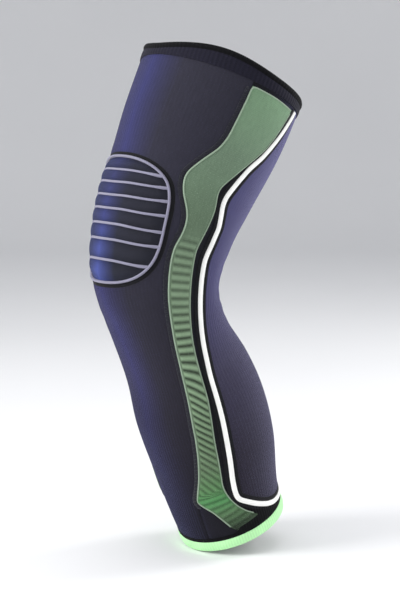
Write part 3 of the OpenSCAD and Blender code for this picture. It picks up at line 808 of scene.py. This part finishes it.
# dark flatlock seam in front of the band, with its cross stitches
off = lambda st, mmm: float(read(BAND_FRONT, st)) + mmm
path = [(-190, 33.8), (-185, 29.4), (-179, 29.4)] + [(st, off(st, -2.2)) for st in range(-172, 184, 4)]
path = resample(path, 1.5, 1.5)
parts = [sweep_parts(path, flat_tape(3.4, 0.45), taper=1.0)]
fine = resample(path, 1.9)
for k in range(1, len(fine) - 1):
    sa = fine[k]
    h = 1.75 / float(prof(sa[0], 1)) * 57.3
    tilt = 0.55 if k % 2 else -0.55
    parts.append(sweep_parts([(sa[0] - tilt, sa[1] - h), (sa[0] - tilt / 3, sa[1] - h / 3), (sa[0] + tilt / 3, sa[1] + h / 3), (sa[0] + tilt, sa[1] + h)],
                             round_wire(0.32, 5, 0.5)))
v_, f_, k_ = join(parts)
o = mesh_object("lateral_seam", v_, f_, None, k_, [THREAD], None, 60)
both(o, "seam_thread", "lateral_seam_thigh", "lateral_seam_knee", "lateral_seam_calf")

# white piping on a dark bed; at the calf it turns to the rear and round the back
LINE = [(184.5, float(read(BAND_LINE, 184)))] + [(st, float(read(BAND_LINE, st))) for st in range(180, -182, -4)]
TURN = [(-186, 72.4), (-189.6, 73.4), (-192.4, 75.8), (-199.5, 84.5), (-207.5, 95), (-213.5, 105), (-217.3, 115), (-219.4, 127), (-220.3, 145), (-220.6, 165), (-220.7, 180.3)]
line_path = resample(LINE + TURN, 1.5, 1.6)
o = sweep("lateral_piping_bed", line_path, flat_tape(12.0, 0.55, 1.2), [DARK], taper=-1.0)
both(o, "seam_thread")
o = sweep("lateral_piping", line_path, half_round(4.9, 1.9, 11, 0.2), [WHITE], taper=-2.0)
both(o, "white_piping", "lateral_piping_thigh", "lateral_piping_knee", "lateral_piping_calf")


# ---- kneecap panel
def cap_ring(u, n=160, bump_s=0.0):
    ph = np.linspace(0, 2 * math.pi, n, endpoint=False)
    r = u * (np.abs(np.cos(ph)) ** CAP_N + np.abs(np.sin(ph)) ** CAP_N) ** (-1 / CAP_N)
    return np.stack([CAP_MID + CAP_H * r * np.sin(ph), CAP_A * r * np.cos(ph)], -1)


def cap_a(s, u=1.0):
    t = np.clip(np.abs(s - CAP_MID) / (CAP_H * u), 0, 1)
    return CAP_A * u * (1 - t**CAP_N) ** (1 / CAP_N)


def line_s(k, a):
    """Station of the k-th raised line at angle a; -1 and 7 are the panel's own ends."""
    s0, up = ([(CAP_MID - CAP_H, -0.5)] + CAP_LINES + [(CAP_MID + CAP_H, 0.0)])[k + 1]
    m = np.abs(a)
    arch = 1 - smooth((m - 14) / 30) if 0 <= k < 7 else 0
    return s0 + up * (m / 50) ** 2 + 1.3 * arch


u = 0.985
ss = CAP_MID - np.cos(np.linspace(0.02, math.pi - 0.02, 190)) * CAP_H * u
s = np.repeat(ss[:, None], 91, 1)
a = cap_a(s, u) * np.linspace(-1, 1, 91)[None, :]
r = ((np.abs(s - CAP_MID) / CAP_H) ** CAP_N + (np.abs(a) / CAP_A) ** CAP_N) ** (1 / CAP_N)
puff = np.zeros_like(s)
band_no = np.zeros_like(s)
for k in range(-1, 7):
    lo_, hi_ = line_s(k, a), line_s(k + 1, a)
    f = (s - lo_) / (hi_ - lo_)
    puff = np.where((f >= 0) & (f <= 1), np.abs(np.sin(np.pi * np.clip(f, 0, 1))) ** 0.65, puff)
    band_no = np.where((f >= 0) & (f <= 1), k + f, band_no)
d = 0.15 + 1.1 * smooth((0.99 - r) / 0.12) + 1.35 * puff * smooth((0.96 - r) / 0.16)
# the ribs map here paints shadow in the grooves beside the raised lines and lighter pads between them
o = slab("kneecap_panel", s, a, d, -0.3, [CAP_KNIT], ribs=(band_no, smooth((0.97 - r) / 0.1)))
bend(o, "navy_knit", "kneecap_panel")

parts = []
for k in range(7):
    aa = np.linspace(-CAP_A, CAP_A, 241)
    st = line_s(k, aa)
    ok = ((np.abs(st - CAP_MID) / CAP_H) ** CAP_N + (np.abs(aa) / CAP_A) ** CAP_N) ** (1 / CAP_N) < 1.0
    w = aa[ok].max()
    aa = np.linspace(-w, w, 90)
    path = np.stack([line_s(k, aa), aa], -1)
    # the lines sink a little as they run under the outline
    fall = 1 - 0.16 * smooth((np.abs(path[:, 1]) / w - 0.86) / 0.14)
    parts.append(sweep_parts(path, half_round(3.1, 2.3, 9, 0.2), scale=fall))
v_, f_, k_ = join(parts)
o = mesh_object("kneecap_ribs", v_, f_, None, k_, [LILAC], None, 60)
bend(o, "kneecap_line", "kneecap_ribs")
o = sweep("kneecap_rim", cap_ring(1.0), half_round(2.4, 2.2, 9, 0.3), [LILAC], closed=True)
bend(o, "kneecap_line", "kneecap_rim")
o = sweep("kneecap_border", cap_ring(1.05), flat_tape(3.6, 0.5, 0.8), [DARK], closed=True)
bend(o, "navy_knit")

# gel ring behind the panel
nphi, nsec = 120, 22
ph = np.linspace(0, 2 * math.pi, nphi, endpoint=False)
th = np.linspace(0, 2 * math.pi, nsec, endpoint=False)
rr = (np.abs(np.cos(ph)) ** CAP_N + np.abs(np.sin(ph)) ** CAP_N) ** (-1 / CAP_N)
uu = 0.765 + 0.165 * np.sign(np.cos(th)) * np.abs(np.cos(th)) ** 0.7
dd = -4.35 + 1.95 * np.sign(np.sin(th)) * np.abs(np.sin(th)) ** 0.7
U, PH = uu[None, :], ph[:, None]
swell = 1 + 0.12 * np.cos(2 * PH) * 0
s = CAP_MID + CAP_H * rr[:, None] * U * np.sin(PH)
a = CAP_A * rr[:, None] * U * np.cos(PH)
pts = surf(s, a, np.broadcast_to(dd[None, :], s.shape) + 0.12 * np.sin(PH * 14) * (np.sin(th) < 0)[None, :])
ids = np.arange(nphi * nsec).reshape(nphi, nsec)
ids = np.concatenate([ids, ids[:, :1]], 1); ids = np.concatenate([ids, ids[:1]], 0)
f_ = np.stack([ids[:-1, :-1], ids[:-1, 1:], ids[1:, 1:], ids[1:, :-1]], -1).reshape(-1, 4)
gu, gv = np.meshgrid(np.linspace(0.01, 0.99, nsec + 1), np.linspace(0.01, 0.99, nphi + 1))
bk = corners(gu, gv)
vv = pts.reshape(-1, 3)
if volume(vv, f_) < 0:
    f_, bk = f_[:, ::-1], bk[:, ::-1]
o = mesh_object("kneecap_gel_ring", vv, f_, bk, bk * 100, [GEL], None, 60)
bend(o, "silicone_gel", "kneecap_gel_ring")

# ---- stays, channels and caps
stay_a = lambda st: read(STAY_LINE, st)
ROUND = np.linspace(0, 2 * math.pi, 14, endpoint=False)
pitch_w, top, bottom = 2.1, 85.0, -110.0
turns = int((top - bottom) / pitch_w)
tt = np.linspace(0, turns, turns * 14 + 1)
th = 2 * math.pi * tt
cx = 2.6 * np.sign(np.cos(th)) * np.abs(np.cos(th)) ** 0.8
cy = -3.25 + 0.42 * np.sin(th)
st = bottom + pitch_w * tt
base_a = stay_a(st) + cx / prof(st, 1) * 57.3
P = surf(st, base_a, cy, 1)
T = np.gradient(P, axis=0); T /= np.linalg.norm(T, axis=1, keepdims=True)
N = normal(st, base_a)
B = np.cross(T, N); B /= np.linalg.norm(B, axis=1, keepdims=True)
N2 = np.cross(B, T)
sec = round_wire(0.4, 6)
v_ = (P[:, None] + B[:, None] * sec[None, :, :1] + N2[:, None] * sec[None, :, 1:]).reshape(-1, 3)
ids = np.arange(len(P) * 6).reshape(-1, 6)
ids = np.concatenate([ids, ids[:, :1]], 1)
f_ = np.stack([ids[:-1, :-1], ids[1:, :-1], ids[1:, 1:], ids[:-1, 1:]], -1).reshape(-1, 4)
ends = np.array([[0, 1, 2, 3], [0, 3, 4, 5]])
f_ = np.concatenate([f_, ends, (len(P) * 6 - 6) + ends[:, ::-1]])
if volume(v_, f_) < 0:
    f_ = f_[:, ::-1]
kn = np.zeros((len(f_), 4, 2)); kn[:, 1, 0] = 1; kn[:, 2] = 1; kn[:, 3, 1] = 1
o = mesh_object("lateral_stay", v_, f_, None, kn, [STEEL], None, 60)
both(o, "spring_steel", "lateral_stay")

s_ = np.linspace(-122, 97, 110)[:, None]
cols = np.array([-7.6, -7.2, -5.2, -4.6, -4.0, -1.5, 1.5, 4.0, 4.6, 5.2, 7.2, 7.6])
dep = np.array([-2.0, -2.35, -2.45, -3.2, -4.15, -4.2, -4.2, -4.15, -3.2, -2.45, -2.35, -2.0])
s = np.repeat(s_, len(cols), 1)
a = stay_a(s) + cols[None, :] / prof(s, 1) * 57.3
close = smooth((s + 122) / 5) * smooth((97 - s) / 5)
o = slab("lateral_stay_channel", s, a, np.minimum(-2.0, -2.2 + (dep[None, :] + 2.2) * close), np.minimum(-2.0, -2.2 + (dep[None, :] + 2.2) * close) - 0.45, [TAPE], bake=False)
both(o, "channel_tape", "lateral_stay_channel")

for tag, s0, s1, body in (("upper", 84.2, 93.0, "thigh"), ("lower", -118.0, -109.4, "calf")):
    n = 22
    path = np.stack([np.linspace(s0, s1, n), stay_a(np.linspace(s0, s1, n))], -1)
    w = 3.3 * np.sqrt(np.clip(1 - np.abs(np.linspace(-1, 1, n)) ** 5, 0.04, 1))
    sec = np.array([(math.copysign(abs(math.cos(x)) ** 0.6, math.cos(x)), 0.25 * math.copysign(abs(math.sin(x)) ** 0.6, math.sin(x))) for x in np.linspace(0, 2 * math.pi, 16, endpoint=False)])
    p, tt_, nn, bb = path_frame(path)
    vv = (p[:, None] - nn[:, None] * 3.25 + w[:, None, None] * (bb[:, None] * sec[None, :, :1] + nn[:, None] * sec[None, :, 1:])).reshape(-1, 3)
    ids = np.arange(n * 16).reshape(n, 16); ids = np.concatenate([ids, ids[:, :1]], 1)
    f_ = np.stack([ids[:-1, :-1], ids[1:, :-1], ids[1:, 1:], ids[:-1, 1:]], -1).reshape(-1, 4)
    e0 = np.array([[0, i, i + 1, i + 1] for i in range(1, 15)])
    f_ = np.concatenate([f_, e0, np.stack([e0[:, 0], e0[:, 2], e0[:, 1], e0[:, 1]], -1) + (n - 1) * 16])
    if volume(vv, f_) < 0:
        tri = f_[:, 2] == f_[:, 3]
        g = f_[:, ::-1].copy(); g[tri] = f_[tri][:, [1, 0, 2, 3]]; f_ = g
    kn = np.zeros((len(f_), 4, 2)); kn[:, 1, 0] = 1; kn[:, 2] = 1; kn[:, 3, 1] = 1
    o = mesh_object("lateral_stay_cap_" + tag, vv, f_, None, kn, [CAP], None, 50)
    both(o, "cap_plastic", "lateral_stay_cap_" + tag)


# ---- hems and bindings: closed rings round the tube
def rim_lift(a):
    """The top rim stands a little higher on both sides than over the front and the back."""
    a = np.abs((np.asarray(a, float) + 180) % 360 - 180)
    return 5.0 * np.exp(-((a - 54) / 32) ** 2) - 1.8 * np.exp(-(a / 26) ** 2)


def hem(name, prof_sd, mats, n=420, rib=3.0, amp=0.22, lift=None):
    """A ring from a closed cross-section of (station, depth) points; outside points carry ribs.
    lift is the pair of stations between which the section starts to follow the raised rim."""
    sec = np.asarray(prof_sd, float)
    aa = np.linspace(0, 360, n, endpoint=False)
    k = len(sec)
    S = np.repeat(sec[None, :, 0], n, 0)
    D = np.repeat(sec[None, :, 1], n, 0)
    outside = (sec[:, 1] > 0.05)[None, :]
    D = D + outside * amp * np.abs(np.cos(np.pi * aa[:, None] / rib)) ** 1.2
    A = np.repeat(aa[:, None], k, 1)
    if lift:
        S = S + rim_lift(A) * np.clip((S - lift[0]) / (lift[1] - lift[0]), 0, 1)
    pts = surf(S, A, D, 0)
    ids = np.arange(n * k).reshape(n, k)
    ids = np.concatenate([ids, ids[:, :1]], 1); ids = np.concatenate([ids, ids[:1]], 0)
    f = np.stack([ids[:-1, :-1], ids[:-1, 1:], ids[1:, 1:], ids[1:, :-1]], -1).reshape(-1, 4)
    run = np.concatenate([[0], np.cumsum(np.linalg.norm(np.diff(np.concatenate([sec, sec[:1]]), axis=0), axis=1))])
    gu = np.repeat(np.linspace(0, 360, n + 1)[:, None], k + 1, 1)
    gv = np.repeat(run[None, :], n + 1, 0)
    kn = np.stack([np.stack([gu, gv], -1)[:-1, :-1], np.stack([gu, gv], -1)[:-1, 1:], np.stack([gu, gv], -1)[1:, 1:], np.stack([gu, gv], -1)[1:, :-1]], 2).reshape(-1, 4, 2)
    bkk = kn / np.array([364.0, run[-1] * 1.02]) + 0.004
    v = pts.reshape(-1, 3)
    if volume(v, f) < 0:
        f, kn, bkk = f[:, ::-1], kn[:, ::-1], bkk[:, ::-1]
    return mesh_object(name, v, f, bkk, kn, mats, None, 50)


def tube_section(s0, s1, out, inn, r=0.8, bulge=0.0):
    """Rounded rectangle in (station, depth), going up the outside and down the inside."""
    t = np.linspace(0, 1, 9)
    up = [(s0 + r * 0.3 + (s1 - s0 - 0.6 * r) * x, out + bulge * math.sin(math.pi * x)) for x in t]
    down = [(s1 - r * 0.3 - (s1 - s0 - 0.6 * r) * x, inn) for x in t]
    capt = [(s1 - 0.02, out - (out - inn) * x) for x in (0.3, 0.7)]
    capb = [(s0 + 0.02, inn + (out - inn) * x) for x in (0.3, 0.7)]
    return up + capt + down + capb


def ride(o, body, slot, *nodes):
    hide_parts(*nodes)
    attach(o, body)
    return o


o = hem("top_hem", tube_section(185.8, 193.4, 0.75, -2.0, bulge=0.35), [WELT], lift=(186.5, 193))
ride(o, "thigh", "navy_welt", "top_hem")
o = hem("top_binding", tube_section(192.6, 198.2, 0.9, -2.1, 1.4, bulge=0.75), [BLACK], amp=0.15, lift=(190, 192))
ride(o, "thigh", "black_elastic", "top_binding")
o = hem("bottom_binding", tube_section(-236.2, -226.4, 0.75, -2.0, 1.4, bulge=0.7), [MINT], amp=0.2)
ride(o, "calf", "mint_binding", "bottom_binding")

# black cuff: a narrow ring at the front that rises behind the white line at the back
aa = np.linspace(-180, 180, 361)
turn = np.array([(71.5, -184)] + [(x[1], x[0]) for x in TURN])
up_s = np.interp(np.abs(aa), [0, 60, 66, 70] + list(turn[:, 0]), [-222.8, -222.8, -220, -200] + list(turn[:, 1]))
k = 14
fr_ = np.linspace(0, 1, k)[:, None]
s = -227.2 + (up_s[None, :] + 227.2) * fr_
a = np.repeat(aa[None, :], k, 0)
d = 0.15 + 0.35 * smooth(np.minimum((s + 227.2), (up_s[None, :] - s)) / 1.2)
o = slab("bottom_hem", s, a, d + 0.12 * np.abs(np.cos(np.pi * a / 3.0)), -0.5, [BLACK])
ride(o, "calf", "black_elastic", "bottom_hem")

# silicone grips: three waved beads inside each hem
for name, body, rows_, depth, turns_, nodes in (("top_grip", "thigh", (181.5, 185.0, 188.5), -2.15, 24, ("top_grip",)), ("bottom_grip", "calf", (-224.5, -221.5, -218.5), -2.15, 18, ("bottom_grip",))):
    parts = []
    for i, st in enumerate(rows_):
        aa = np.linspace(0, 360, 360, endpoint=False)
        ps = st + 1.1 * np.sin(np.radians(aa) * turns_ + i * math.pi)
        p = surf(ps, aa, depth, 0)
        n_ = -normal(ps, aa, 0)
        t_ = np.roll(p, -1, 0) - np.roll(p, 1, 0)
        t_ /= np.linalg.norm(t_, axis=1, keepdims=True)
        b_ = np.cross(t_, n_)
        sec = half_round(1.5, 0.62, 7, 0.15)
        vv = (p[:, None] + b_[:, None] * sec[None, :, :1] + n_[:, None] * sec[None, :, 1:]).reshape(-1, 3)
        kk = len(sec)
        ids = np.arange(len(aa) * kk).reshape(-1, kk)
        ids = np.concatenate([ids, ids[:, :1]], 1); ids = np.concatenate([ids, ids[:1]], 0)
        ff = np.stack([ids[:-1, :-1], ids[:-1, 1:], ids[1:, 1:], ids[1:, :-1]], -1).reshape(-1, 4)
        if volume(vv, ff) < 0:
            ff = ff[:, ::-1]
        kn = np.zeros((len(ff), 4, 2)); kn[:, 1, 0] = 1; kn[:, 2] = 1; kn[:, 3, 1] = 1
        parts.append((vv, ff, kn))
    v_, f_, k_ = join(parts)
    o = mesh_object(name, v_, f_, None, k_, [GRIP], None, 60)
    ride(o, body, "silicone_grip", *nodes)

# care label sewn inside the rear panel: flat at its top, standing off the panel lower down
s_ = np.linspace(146, 168.5, 16)[:, None]
a_ = np.linspace(168, 192, 25)[None, :]
s, a = np.repeat(s_, 25, 1), np.repeat(a_, 16, 0)
lift = 1.6 * smooth((160 - s) / 14) * (0.75 + 0.25 * np.cos(np.radians((a - 180) * 12)))
o = slab("care_label", s, a, -2.35 - lift, -2.7 - lift, [LABEL], bake=False, soft=1)
ride(o, "thigh", "label_tape", "care_label")

# ---------------------------------------------------------------- camera, light, floor
lo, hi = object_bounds()
floor_z = min(lo.z, CAD[0].z) - 0.0005

scene = bpy.context.scene


def backdrop():
    """A pale floor that curves up into a low round wall far from the brace on every side."""
    prof_ = [(0.0, 0.0), (0.6, 0.0), (1.6, 0.0), (2.6, 0.0)]
    for i in range(1, 15):
        t_ = math.pi / 2 * i / 14
        prof_.append((2.6 + 1.2 * math.sin(t_), 1.2 * (1 - math.cos(t_))))
    prof_.append((3.8, 1.9))
    n = 96
    verts, faces = [(0.0, 0.04, floor_z)], []
    for (x, z) in prof_[1:]:
        for k in range(n):
            w = 2 * math.pi * k / n
            verts.append((x * math.cos(w), 0.04 + x * math.sin(w), floor_z + z))
    for k in range(n):
        faces.append((0, 1 + k, 1 + (k + 1) % n))
    for i in range(len(prof_) - 2):
        for k in range(n):
            a_, b_ = 1 + i * n + k, 1 + i * n + (k + 1) % n
            faces.append((a_, a_ + n, b_ + n, b_))
    me = bpy.data.meshes.new("backdrop")
    me.from_pydata(verts, [], faces)
    me.polygons.foreach_set("use_smooth", [True] * len(faces))
    t_ = Tree("backdrop")
    n_ = t_.noise(3.0, 2.0)
    t_.link(t_.mix(n_, (0.84, 0.84, 0.845), (0.87, 0.87, 0.875)), t_.b.inputs["Base Color"])
    t_.b.inputs["Roughness"].default_value = 0.9
    me.materials.append(t_.m)
    ob = bpy.data.objects.new("backdrop", me)
    scene.collection.objects.link(ob)


backdrop()

target = np.array([0.0, 0.040, -0.0125])
az, el, dist = math.radians(55), math.radians(8), 1.3
back = np.array([math.sin(az) * math.cos(el), -math.cos(az) * math.cos(el), math.sin(el)])
cam_data = bpy.data.cameras.new("camera")
cam = bpy.data.objects.new("camera", cam_data)
scene.collection.objects.link(cam)
cam.location = target + back * dist
from mathutils import Vector
cam.rotation_mode = "QUATERNION"
cam.rotation_quaternion = (-Vector(back)).to_track_quat("-Z", "Y")
cam_data.sensor_width = 36
cam_data.lens = 87
cam_data.dof.use_dof = False
scene.camera = cam


def area(name, loc, size, power, colour=(1, 1, 1), aim=(0, 0.03, 0)):
    l = bpy.data.lights.new(name, "AREA")
    l.shape = "RECTANGLE"
    l.size, l.size_y = size
    l.energy = power
    l.color = colour
    ob = bpy.data.objects.new(name, l)
    scene.collection.objects.link(ob)
    ob.location = loc
    ob.rotation_mode = "QUATERNION"
    ob.rotation_quaternion = (Vector(aim) - Vector(loc)).to_track_quat("-Z", "Y")


area("key", (-0.35, -1.35, 0.65), (0.7, 1.1), 24)
area("fill", (1.6, 0.1, 0.55), (1.0, 1.2), 7)
area("rim", (0.3, 1.5, 0.8), (0.6, 1.2), 14)
area("top", (0.1, 0.0, 1.6), (1.4, 1.4), 9)

world = bpy.data.worlds.new("world")
scene.world = world
world.use_nodes = True
world.node_tree.nodes["Background"].inputs[0].default_value = (0.93, 0.95, 1.0, 1)
world.node_tree.nodes["Background"].inputs[1].default_value = 0.5
scene.view_settings.view_transform = "Standard"
scene.view_settings.look = "None"
